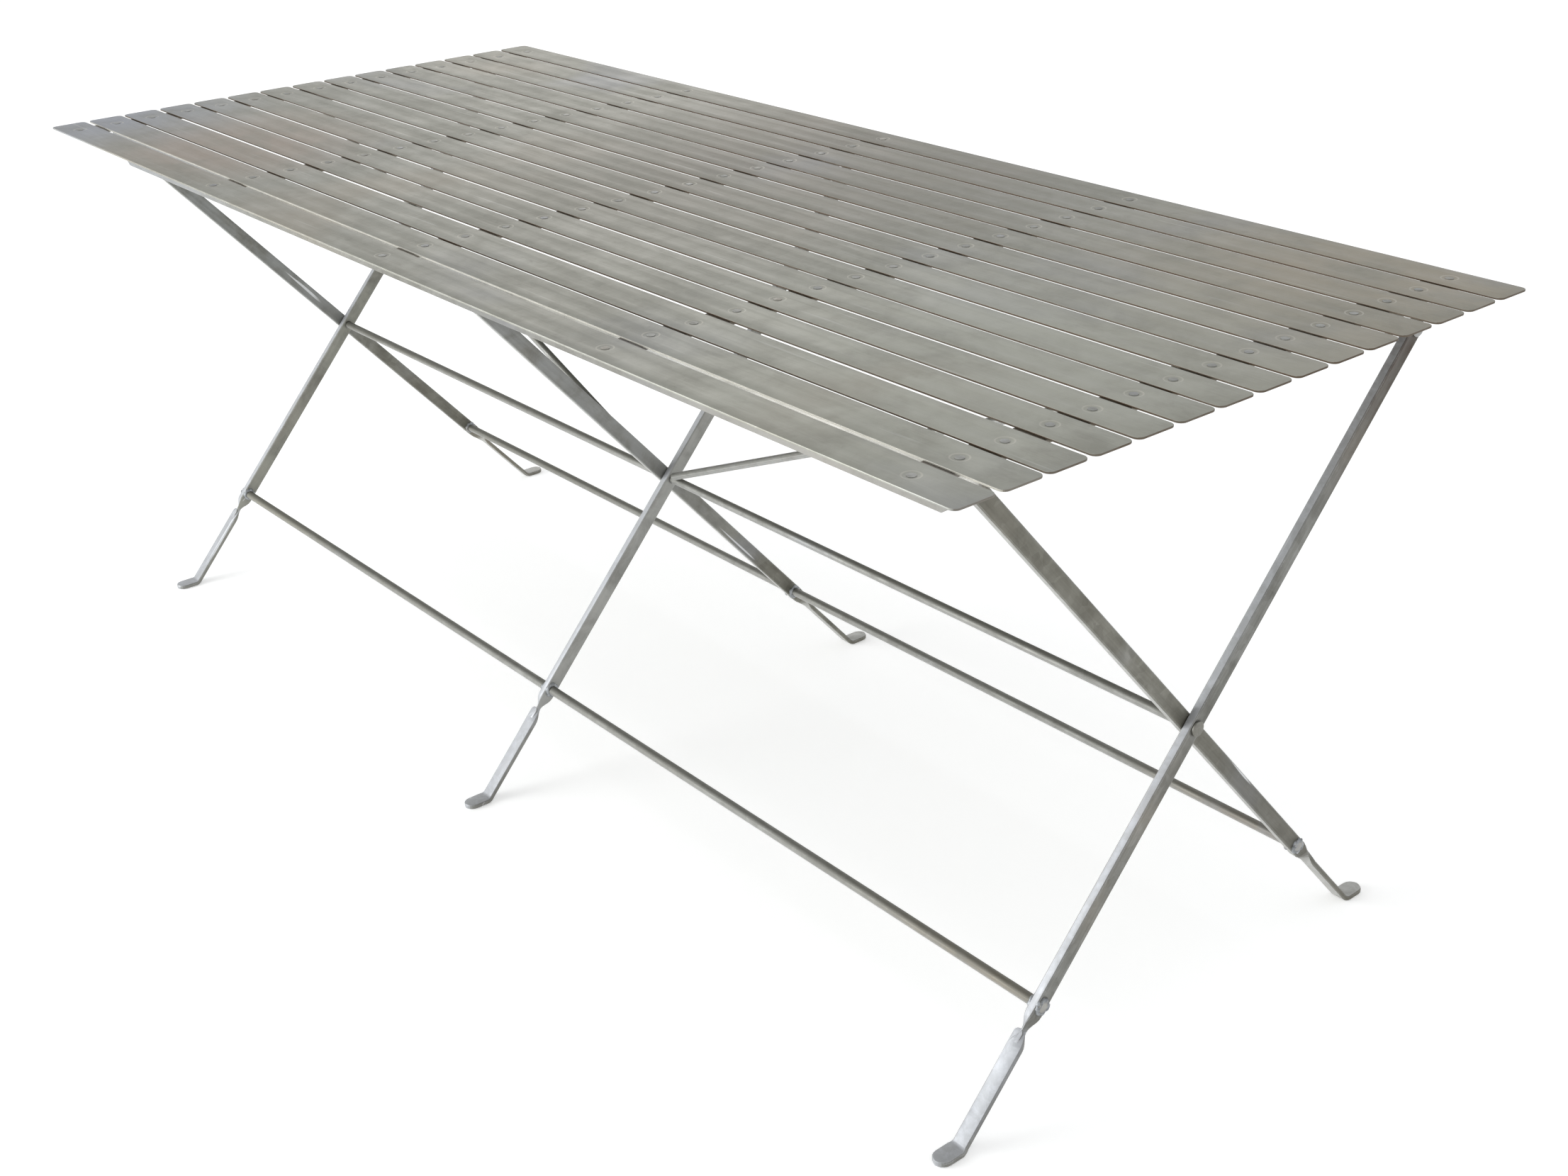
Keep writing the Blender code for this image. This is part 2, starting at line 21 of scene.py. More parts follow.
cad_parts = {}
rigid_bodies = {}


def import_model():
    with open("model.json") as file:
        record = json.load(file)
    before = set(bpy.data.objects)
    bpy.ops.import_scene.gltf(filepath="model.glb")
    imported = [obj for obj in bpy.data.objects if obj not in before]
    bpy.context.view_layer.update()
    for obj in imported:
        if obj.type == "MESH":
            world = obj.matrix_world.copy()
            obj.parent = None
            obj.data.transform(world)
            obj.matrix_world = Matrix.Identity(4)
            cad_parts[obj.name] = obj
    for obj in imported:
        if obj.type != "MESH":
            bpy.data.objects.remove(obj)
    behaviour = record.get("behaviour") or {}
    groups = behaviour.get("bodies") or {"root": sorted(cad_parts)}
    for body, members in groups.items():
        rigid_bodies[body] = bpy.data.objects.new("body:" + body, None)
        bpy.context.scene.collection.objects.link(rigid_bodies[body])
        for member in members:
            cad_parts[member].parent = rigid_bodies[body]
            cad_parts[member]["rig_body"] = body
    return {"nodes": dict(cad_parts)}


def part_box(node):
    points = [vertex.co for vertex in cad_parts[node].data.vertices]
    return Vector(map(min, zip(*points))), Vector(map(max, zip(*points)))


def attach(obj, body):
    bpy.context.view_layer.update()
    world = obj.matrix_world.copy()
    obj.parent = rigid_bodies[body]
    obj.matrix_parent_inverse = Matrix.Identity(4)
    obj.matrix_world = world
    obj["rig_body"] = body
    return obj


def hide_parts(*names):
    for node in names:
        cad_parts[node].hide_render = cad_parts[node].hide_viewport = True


LOG = logging.getLogger("garden_table")
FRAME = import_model()

Colour = tuple[float, float, float]
Place = tuple[float, float, float]
Steps = tuple[tuple[float, float], ...]

MM = 0.001
# points this near to each other are one point, and faces this nearly flat are one face
SEAM = 0.002 * MM
FLAT_WITHIN = math.radians(0.6)
# a face points along an axis if its normal has this much along it
FACING = 0.9


def middle_of(node: str) -> Vector:
    """Returns the middle of a frame node's box."""
    low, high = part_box(node)
    return (low + high) / 2


def held(value: float, low: float, high: float) -> float:
    """Returns the value, held between two limits."""
    return min(max(value, low), high)


def stands_up(a: Vector, b: Vector) -> bool:
    """Says whether the edge between two points climbs by more than a millimetre."""
    return abs(a.z - b.z) > MM


def lies_level(a: Vector, b: Vector) -> bool:
    """Says whether the edge between two points is level."""
    return abs(a.z - b.z) < 0.1 * MM


class Body(Enum):
    """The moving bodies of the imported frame."""

    TOP = "top"
    HINGED_FRAME = "hinged_frame"
    RESTING_FRAME = "resting_frame"
    LEFT_BRACE = "left_brace"
    RIGHT_BRACE = "right_brace"


class Slot(Enum):
    """The record's finishes."""

    SLAT = "slat_steel"
    BATTEN = "batten_steel"
    RAIL = "rail_steel"
    LEG = "leg_steel"
    ROD = "rod_steel"
    FITTING = "fitting_steel"


class Pick(Enum):
    """What an edit-mode selection is made of."""

    VERTICES = "VERT"
    EDGES = "EDGE"
    FACES = "FACE"


class Bench:
    """Modelling steps that every sub-assembly uses."""

    @staticmethod
    def hold(*objects: bpy.types.Object) -> None:
        """Selects only these objects and makes the first one active.

        Args:
            objects: the objects to hold.
        """
        bpy.ops.object.select_all(action="DESELECT")
        for obj in objects:
            obj.select_set(True)
        bpy.context.view_layer.objects.active = objects[0]

    @staticmethod
    @contextmanager
    def editing(obj: bpy.types.Object, pick: Pick = Pick.FACES) -> Iterator[None]:
        """Opens an object in edit mode and closes it again.

        Args:
            obj: the object to edit.
            pick: whether vertices, edges or faces are selected.

        Returns:
            A context in which the mesh operators act on the object.
        """
        Bench.hold(obj)
        bpy.ops.object.mode_set(mode="EDIT")
        bpy.ops.mesh.select_mode(type=pick.value)
        bpy.ops.mesh.select_all(action="DESELECT")
        try:
            yield
        finally:
            bpy.ops.object.mode_set(mode="OBJECT")

    @staticmethod
    def select_faces(obj: bpy.types.Object, test: Callable[[Vector], bool]) -> None:
        """Selects faces of the object in edit mode by their normals.

        Args:
            obj: the object in edit mode.
            test: given a face's normal, says whether to select it.
        """
        mesh = bmesh.from_edit_mesh(obj.data)
        for face in mesh.faces:
            face.select_set(test(face.normal))
        mesh.select_flush_mode()
        bmesh.update_edit_mesh(obj.data)

    @staticmethod
    def select_edges(obj: bpy.types.Object, test: Callable[[Vector, Vector], bool]) -> None:
        """Selects edges of the object in edit mode by their two ends.

        Args:
            obj: the object in edit mode.
            test: given an edge's two ends, says whether to select it.
        """
        mesh = bmesh.from_edit_mesh(obj.data)
        for edge in mesh.edges:
            edge.select_set(test(edge.verts[0].co, edge.verts[1].co))
        bmesh.update_edit_mesh(obj.data)

    @staticmethod
    def named(name: str) -> bpy.types.Object:
        """Names the object just added, puts its place into its mesh and returns it.

        Args:
            name: the piece's name.

        Returns:
            The object, at the origin, unturned and unscaled.
        """
        obj = bpy.context.view_layer.objects.active
        obj.name = name
        obj.data.name = name
        Bench.hold(obj)
        bpy.ops.object.transform_apply(location=True, rotation=True, scale=True)
        return obj

    @staticmethod
    def block(name: str, low: Sequence[float], high: Sequence[float]) -> bpy.types.Object:
        """Adds a square-edged block between two corners, ready to be shaped.

        Args:
            name: the piece's name.
            low: lowest corner in metres.
            high: highest corner in metres.

        Returns:
            The block.
        """
        low, high = Vector(low), Vector(high)
        bpy.ops.object.select_all(action="DESELECT")
        bpy.ops.mesh.primitive_cube_add(size=1.0, location=(low + high) / 2, scale=high - low)
        return Bench.named(name)

    @staticmethod
    def stub(
        name: str, centre: Sequence[float], radius: float, length: float, sides: int
    ) -> bpy.types.Object:
        """Adds an upright round bar, ready to be shaped.

        Args:
            name: the piece's name.
            centre: its middle in metres.
            radius: its radius in metres.
            length: its length in metres.
            sides: number of sides of its round section.

        Returns:
            The bar.
        """
        bpy.ops.object.select_all(action="DESELECT")
        bpy.ops.mesh.primitive_cylinder_add(
            vertices=sides, radius=radius, depth=length, location=centre
        )
        return Bench.named(name)

    @staticmethod
    def modify(obj: bpy.types.Object, kind: str, **settings: object) -> None:
        """Adds a modifier with these settings and applies it.

        Args:
            obj: the object to modify.
            kind: the modifier's type.
            settings: values of its properties.
        """
        Bench.hold(obj)
        modifier = obj.modifiers.new(kind.lower(), kind)
        for key, value in settings.items():
            setattr(modifier, key, value)
        bpy.ops.object.modifier_apply(modifier=modifier.name)

    @staticmethod
    def soften(obj: bpy.types.Object, width: float, segments: int = 2, angle: float = 30.0) -> None:
        """Rounds every sharp edge over and shades the piece smooth between its edges.

        Args:
            obj: the piece.
            width: width of the rounding in metres.
            segments: facets across the rounding.
            angle: edges sharper than this many degrees are rounded.
        """
        Bench.modify(
            obj, "BEVEL", width=width, segments=segments, limit_method="ANGLE",
            angle_limit=math.radians(angle), miter_outer="MITER_ARC", use_clamp_overlap=True,
        )
        Bench.smooth(obj)

    @staticmethod
    def smooth(obj: bpy.types.Object, angle: float = 40.0) -> None:
        """Shades smooth across edges flatter than the angle in degrees."""
        Bench.hold(obj)
        bpy.ops.object.shade_smooth_by_angle(angle=math.radians(angle))

    @staticmethod
    def heal(obj: bpy.types.Object) -> None:
        """Closes seams between loose faces and turns every normal outwards."""
        with Bench.editing(obj):
            bpy.ops.mesh.select_all(action="SELECT")
            bpy.ops.mesh.remove_doubles(threshold=SEAM)
            bpy.ops.mesh.normals_make_consistent(inside=False)

    @staticmethod
    def copied(obj: bpy.types.Object, name: str, shift: Sequence[float]) -> bpy.types.Object:
        """Copies a piece with its own mesh and moves the copy.

        Args:
            obj: the piece to copy.
            name: the copy's name.
            shift: how far the copy is moved in metres.

        Returns:
            The copy.
        """
        copy = bpy.data.objects.new(name, obj.data.copy())
        copy.data.name = name
        copy.data.transform(Matrix.Translation(Vector(shift)))
        bpy.context.scene.collection.objects.link(copy)
        return copy

    @staticmethod
    def from_frame(node: str, name: str) -> bpy.types.Object:
        """Copies a frame node's mesh into a new piece with closed seams and whole faces.

        Args:
            node: the frame node.
            name: the new piece's name.

        Returns:
            The new piece.
        """
        piece = bpy.data.objects.new(name, FRAME["nodes"][node].data.copy())
        piece.data.name = name
        piece.data.materials.clear()
        bpy.context.scene.collection.objects.link(piece)
        Bench.heal(piece)
        with Bench.editing(piece):
            bpy.ops.mesh.select_all(action="SELECT")
            bpy.ops.mesh.dissolve_limited(angle_limit=FLAT_WITHIN)
        return piece

    @staticmethod
    def joined(objects: Sequence[bpy.types.Object], name: str) -> bpy.types.Object:
        """Joins several objects into one piece.

        Args:
            objects: the objects to join.
            name: the joined piece's name.

        Returns:
            The joined piece.
        """
        Bench.hold(*objects)
        bpy.ops.object.join()
        return Bench.named(name)

    @staticmethod
    def paint(obj: bpy.types.Object, layer: str, value: Callable[[Vector], float]) -> None:
        """Writes a number on each face for a finish to read.

        Args:
            obj: the piece.
            layer: the attribute's name.
            value: given a face's normal, returns its number.
        """
        attribute = obj.data.attributes.get(layer)
        attribute = attribute or obj.data.attributes.new(layer, "FLOAT", "FACE")
        for polygon in obj.data.polygons:
            attribute.data[polygon.index].value = value(polygon.normal)

    @staticmethod
    def fit(
        obj: bpy.types.Object, finish: "Zinc", body: Body, slot: Slot, replaces: Sequence[str] = ()
    ) -> None:
        """Gives a finished piece its material and its body, and hides the frame nodes that it stands for.

        Args:
            obj: the piece.
            finish: its finish.
            body: the body that it rides on.
            slot: the record's slot of its finish; not used.
            replaces: the frame nodes that it stands for.
        """
        obj.data.materials.clear()
        obj.data.materials.append(finish.material())
        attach(obj, body.value)
        if replaces:
            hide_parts(*replaces)
        LOG.info("%s: %d faces on %s", obj.name, len(obj.data.polygons), body.value)


class Graph:
    """A material's node tree, with short calls to add and link its nodes."""

    # where the colour sockets of a mix node are
    SHARE, FIRST, SECOND, MIXED = 0, 6, 7, 2

    def __init__(self, name: str) -> None:
        """Starts an empty node material.

        Args:
            name: the material's name.
        """
        self.material = bpy.data.materials.new(name)
        self.material.use_nodes = True
        self.tree = self.material.node_tree
        self.tree.nodes.clear()

    def node(self, kind: str, inputs: dict | None = None, **settings: object) -> bpy.types.Node:
        """Adds a node.

        Args:
            kind: the node's type, without the ShaderNode prefix.
            inputs: values or sockets for its inputs, by name or index.
            settings: values of its properties.

        Returns:
            The node.
        """
        node = self.tree.nodes.new("ShaderNode" + kind)
        for key, value in settings.items():
            setattr(node, key, value)
        for key, value in (inputs or {}).items():
            if isinstance(value, bpy.types.NodeSocket):
                self.tree.links.new(value, node.inputs[key])
            else:
                node.inputs[key].default_value = value
        return node

    def noise(
        self, where: bpy.types.NodeSocket, scale: float, detail: float, rough: float = 0.55,
        twist: float = 0.0,
    ) -> bpy.types.NodeSocket:
        """Adds a cloudy noise and returns its grey value.

        Args:
            where: coordinates.
            scale: clouds per metre.
            detail: number of finer layers.
            rough: strength of the finer layers.
            twist: how far the clouds are drawn out of shape.

        Returns:
            The noise's value.
        """
        node = self.node(
            "TexNoise",
            {"Vector": where, "Scale": scale, "Detail": detail, "Roughness": rough, "Distortion": twist},
        )
        return node.outputs["Fac"]

    def spread(
        self, value: bpy.types.NodeSocket, low: float, high: float, to: tuple[float, float] = (0.0, 1.0)
    ) -> bpy.types.NodeSocket:
        """Stretches a value's range smoothly.

        Args:
            value: the value.
            low: the value that becomes the first end.
            high: the value that becomes the second end.
            to: the two ends.

        Returns:
            The stretched value.
        """
        node = self.node(
            "MapRange",
            {"Value": value, "From Min": low, "From Max": high, "To Min": to[0], "To Max": to[1]},
            interpolation_type="SMOOTHSTEP",
        )
        return node.outputs["Result"]

    def math(
        self, operation: str, a: bpy.types.NodeSocket | float, b: bpy.types.NodeSocket | float
    ) -> bpy.types.NodeSocket:
        """Returns the ADD or MULTIPLY of two values, held between 0 and 1."""
        return self.node("Math", {0: a, 1: b}, operation=operation, use_clamp=True).outputs[0]

    def mix(
        self, share: bpy.types.NodeSocket | float, a: bpy.types.NodeSocket | Colour,
        b: bpy.types.NodeSocket | Colour,
    ) -> bpy.types.NodeSocket:
        """Mixes two colours.

        Args:
            share: how much of the second colour.
            a: the first colour.
            b: the second colour.

        Returns:
            The mixed colour.
        """
        node = self.node("Mix", data_type="RGBA")
        for index, value in ((self.SHARE, share), (self.FIRST, a), (self.SECOND, b)):
            if isinstance(value, bpy.types.NodeSocket):
                self.tree.links.new(value, node.inputs[index])
            elif index == self.SHARE:
                node.inputs[index].default_value = value
            else:
                node.inputs[index].default_value = (*value, 1.0)
        return node.outputs[self.MIXED]

    def total(self, *parts: tuple[bpy.types.NodeSocket, float]) -> bpy.types.NodeSocket:
        """Adds values up, each times its own share.

        Args:
            parts: the values and their shares.

        Returns:
            The total, held between 0 and 1.
        """
        terms = [self.math("MULTIPLY", value, share) for value, share in parts]
        total = terms[0]
        for term in terms[1:]:
            total = self.math("ADD", total, term)
        return total

    def painted(self, layer: str) -> bpy.types.NodeSocket:
        """Returns the number that a piece's faces carry under this name."""
        return self.node("Attribute", attribute_name=layer, attribute_type="GEOMETRY").outputs["Fac"]


@dataclass(frozen=True)
class Patch:
    """A soft round patch of another colour on a finish."""

    centre: Place
    reach: float
    colour: Colour
    strength: float


@dataclass(frozen=True)
class Layers:
    """The coordinates and the grey layers that a finish is mixed from, in its node tree."""

    graph: Graph
    coords: bpy.types.NodeSocket
    place: bpy.types.NodeSocket
    drawn: bpy.types.NodeSocket
    clouds: bpy.types.NodeSocket
    drifts: bpy.types.NodeSocket
    spots: bpy.types.NodeSocket
    marks: bpy.types.NodeSocket
    pits: bpy.types.NodeSocket
    grain: bpy.types.NodeSocket


@dataclass(frozen=True)
class Zinc:
    """A finish of weathered zinc on steel.

    Clouds, crystals, drawn marks and pits share one set of object coordinates, turned so that the
    drawn marks run along the piece. Faces painted "bright" carry painted light: the legs' narrow faces,
    the slats' arrises and dish lips as painted highlights, and the rods' undersides. Faces painted
    "rim" are the browned cut edges of the slats and the painted shade on the rods' upper sides.
    """

    name: str
    dark: Colour
    mid: Colour
    light: Colour
    warm: Colour = (0.33, 0.29, 0.23)
    cool: Colour = (0.30, 0.31, 0.35)
    # The rim colour browns the stains and cut edges and is painted shade on the rods' upper sides. The next
    # colour is that of edge wear and nicks, and on the legs it is also a near-white painted highlight along
    # the arrises. The bright colour is painted light.
    rim: Colour = (0.09, 0.065, 0.045)
    wear_and_highlight: Colour = (0.55, 0.55, 0.52)
    bright: Colour = (0.60, 0.61, 0.62)
    tone_stops: tuple[float, float, float] = (0.28, 0.52, 0.80)
    turn: float = 0.0
    drawn_out: float = 0.035
    metallic: float = 0.55
    smoothest: float = 0.34
    roughest: float = 0.56
    cloud_scale: float = 11.0
    drift_factor: float = 0.23
    spot_factor: float = 4.3
    crystal_scale: float = 95.0
    mark_scale: float = 420.0
    pit_scale: float = 900.0
    nick_scale: float = 130.0
    scuff_scale: float = 60.0
    bump: float = 0.10
    mark_height: float = 0.4 * MM
    wave_height: float = 2.0 * MM
    edge_width: float = 0.9 * MM
    stain: float = 0.25
    scratch: float = 0.0
    patches: tuple[Patch, ...] = ()
    built: ClassVar[dict[str, bpy.types.Material]] = {}

    def material(self) -> bpy.types.Material:
        """Returns the finish's material, made on its first use."""
        if self.name not in Zinc.built:
            Zinc.built[self.name] = self._make()
        return Zinc.built[self.name]

    def _make(self) -> bpy.types.Material:
        """Builds the node tree.

        Returns:
            The new material.
        """
        graph = Graph(self.name)
        layers = self._layers(graph)
        stain = graph.spread(layers.spots, 0.60, 0.78, (0.0, self.stain))
        shader = graph.node(
            "BsdfPrincipled",
            {
                "Base Color": self._wear_and_painted_light(layers, self._weathered_and_painted_light(layers, stain)),
                "Roughness": self._roughness(layers, stain),
                "Normal": self._relief(layers),
                "Metallic": self.metallic, "IOR": 1.5, "Specular IOR Level": 0.5,
            },
        )
        out = graph.node("OutputMaterial")
        graph.tree.links.new(shader.outputs[0], out.inputs["Surface"])
        return graph.material

    def _layers(self, graph: Graph) -> Layers:
        """Adds the grey layers that the finish is mixed from.

        Args:
            graph: the material's nodes.

        Returns:
            The layers.
        """
        coords = graph.node("TexCoord").outputs["Object"]
        place = graph.node("Mapping", {"Vector": coords, "Rotation": (self.turn, 0.0, 0.0)}).outputs[0]
        scale = (self.drawn_out, 1.0, 1.0) if self.turn == 0.0 else (1.0, self.drawn_out, 1.0)
        drawn = graph.node("Mapping", {"Vector": place, "Scale": scale}).outputs[0]
        crystals = graph.node("TexVoronoi", {"Vector": place, "Scale": self.crystal_scale, "Randomness": 1.0})
        return Layers(
            graph=graph,
            coords=coords,
            place=place,
            drawn=drawn,
            clouds=graph.noise(place, self.cloud_scale, 6.0, 0.62, 0.4),
            drifts=graph.noise(place, self.cloud_scale * self.drift_factor, 3.0, 0.5, 0.2),
            spots=graph.noise(place, self.cloud_scale * self.spot_factor, 5.0, 0.7, 0.6),
            marks=graph.noise(drawn, self.mark_scale, 4.0, 0.6),
            pits=graph.noise(place, self.pit_scale, 3.0, 0.7),
            grain=graph.node("SeparateColor", {"Color": crystals.outputs["Color"]}).outputs[0],
        )

    def _weathered_and_painted_light(self, layers: Layers, stain: bpy.types.NodeSocket) -> bpy.types.NodeSocket:
        """Mixes the zinc's own greys with the drifts, stains and pits that age leaves, and with round
        patches: some are tints, stains and rust, and some are painted light and painted shade.

        Args:
            layers: the finish's grey layers.
            stain: how stained the surface is.

        Returns:
            The weathered colour.
        """
        graph = layers.graph
        tone = graph.total(
            (layers.clouds, 0.62), (layers.marks, 0.20), (layers.grain, 0.13), (graph.painted("tone"), 0.10)
        )
        ramp = graph.node("ValToRGB", {"Fac": tone})
        stops = ramp.color_ramp.elements
        low, middle, high = self.tone_stops
        stops[0].position = low
        stops[0].color = (*self.dark, 1.0)
        stops[1].position = high
        stops[1].color = (*self.light, 1.0)
        stops.new(middle).color = (*self.mid, 1.0)
        colour = ramp.outputs["Color"]
        colour = graph.mix(graph.spread(layers.drifts, 0.52, 0.72, (0.0, 0.45)), colour, self.warm)
        colour = graph.mix(graph.spread(layers.drifts, 0.46, 0.30, (0.0, 0.40)), colour, self.cool)
        colour = graph.mix(stain, colour, self.rim)
        colour = graph.mix(graph.spread(layers.pits, 0.35, 0.22, (0.0, 0.35)), colour, self.dark)
        for patch in self.patches:
            colour = self._patched(layers, colour, patch)
        return colour

    @staticmethod
    def _patched(
        layers: Layers, colour: bpy.types.NodeSocket, patch: Patch
    ) -> bpy.types.NodeSocket:
        """Lays a cloudy round patch over a colour.

        Args:
            layers: the finish's grey layers, whose clouds break the patch's outline up.
            colour: the colour below the patch.
            patch: the patch.

        Returns:
            The colour with the patch.
        """
        graph = layers.graph
        away = graph.node("VectorMath", {0: layers.coords, 1: patch.centre}, operation="DISTANCE")
        near = graph.spread(away.outputs["Value"], patch.reach, patch.reach * 0.2, (0.0, patch.strength))
        share = graph.math("MULTIPLY", near, graph.spread(layers.clouds, 0.30, 0.62, (0.35, 1.0)))
        return graph.mix(share, colour, patch.colour)

    def _wear_and_painted_light(self, layers: Layers, colour: bpy.types.NodeSocket) -> bpy.types.NodeSocket:
        """Lays the painted light, the nicks, the edge wear with its painted highlight and the browned cuts
        with the painted shade over a colour.

        Args:
            layers: the finish's grey layers.
            colour: the weathered colour.

        Returns:
            The colour as use leaves it, with its painted light and painted shade.
        """
        graph = layers.graph
        # painted light: paler narrow faces on the legs, painted highlights on the slats, and light on the
        # rods' undersides
        painted_light_share = graph.math(
            "MULTIPLY", graph.painted("bright"), graph.spread(layers.spots, 0.34, 0.60, (1.0, 0.72))
        )
        colour = graph.mix(painted_light_share, colour, self.bright)
        if self.scratch > 0.0:
            nicks = graph.noise(layers.drawn, self.nick_scale, 2.0, 0.4)
            colour = graph.mix(graph.spread(nicks, 0.70, 0.75, (0.0, self.scratch)), colour, self.wear_and_highlight)
        # edge wear, which on the legs is also a near-white painted highlight along the arrises
        scuffs = graph.spread(graph.noise(layers.place, self.scuff_scale, 4.0, 0.7), 0.38, 0.62)
        colour = graph.mix(graph.math("MULTIPLY", self._edge(graph), scuffs), colour, self.wear_and_highlight)
        # browned cut edges on the slats, and painted shade on the rods' upper sides
        cut = graph.math(
            "MULTIPLY", graph.painted("rim"), graph.spread(layers.clouds, 0.30, 0.60, (0.72, 1.0))
        )
        return graph.mix(cut, colour, self.rim)

    def _edge(self, graph: Graph) -> bpy.types.NodeSocket:
        """Finds how near the surface is to a sharp edge.

        Args:
            graph: the material's nodes.

        Returns:
            A value that is 1 on an edge and 0 on a flat face.
        """
        rounded = graph.node("Bevel", {"Radius": self.edge_width}, samples=4).outputs["Normal"]
        flat = graph.node("NewGeometry").outputs["Normal"]
        same = graph.node("VectorMath", {0: rounded, 1: flat}, operation="DOT_PRODUCT").outputs["Value"]
        return graph.spread(same, 0.995, 0.86)

    def _roughness(self, layers: Layers, stain: bpy.types.NodeSocket) -> bpy.types.NodeSocket:
        """Mixes a roughness that follows the clouds and marks and rises on stains.

        Args:
            layers: the finish's grey layers.
            stain: how stained the surface is.

        Returns:
            The roughness.
        """
        graph = layers.graph
        gloss = graph.total((layers.clouds, 0.6), (layers.marks, 0.4))
        rough = graph.spread(gloss, 0.30, 0.70, (self.roughest, self.smoothest))
        return graph.math("ADD", rough, graph.math("MULTIPLY", stain, 0.5))

    def _relief(self, layers: Layers) -> bpy.types.NodeSocket:
        """Raises fine marks, pits and crystals on slow waves.

        Args:
            layers: the finish's grey layers.

        Returns:
            The surface's normal.
        """
        graph = layers.graph
        fine = graph.total((layers.marks, 0.55), (layers.pits, 0.30), (layers.grain, 0.10))
        bump = graph.node(
            "Bump", {"Height": fine, "Strength": self.bump, "Distance": self.mark_height}
        ).outputs["Normal"]
        return graph.node(
            "Bump",
            {
                "Height": layers.clouds, "Strength": self.bump * 1.6, "Distance": self.wave_height,
                "Normal": bump,
            },
        ).outputs["Normal"]


@dataclass(frozen=True)
class Plain:
    """A plain matt finish for the studio floor, which glows a little, as if lit from below."""

    name: str
    colour: Colour
    glow: float
    roughness: float = 0.9

    def material(self) -> bpy.types.Material:
        """Returns a new matt material of one colour, lit a little from within."""
        graph = Graph(self.name)
        shader = graph.node(
            "BsdfPrincipled",
            {
                "Base Color": (*self.colour, 1.0), "Roughness": self.roughness,
                "Emission Color": (1.0, 1.0, 1.0, 1.0), "Emission Strength": self.glow,
            },
        )
        out = graph.node("OutputMaterial")
        graph.tree.links.new(shader.outputs[0], out.inputs["Surface"])
        return graph.material


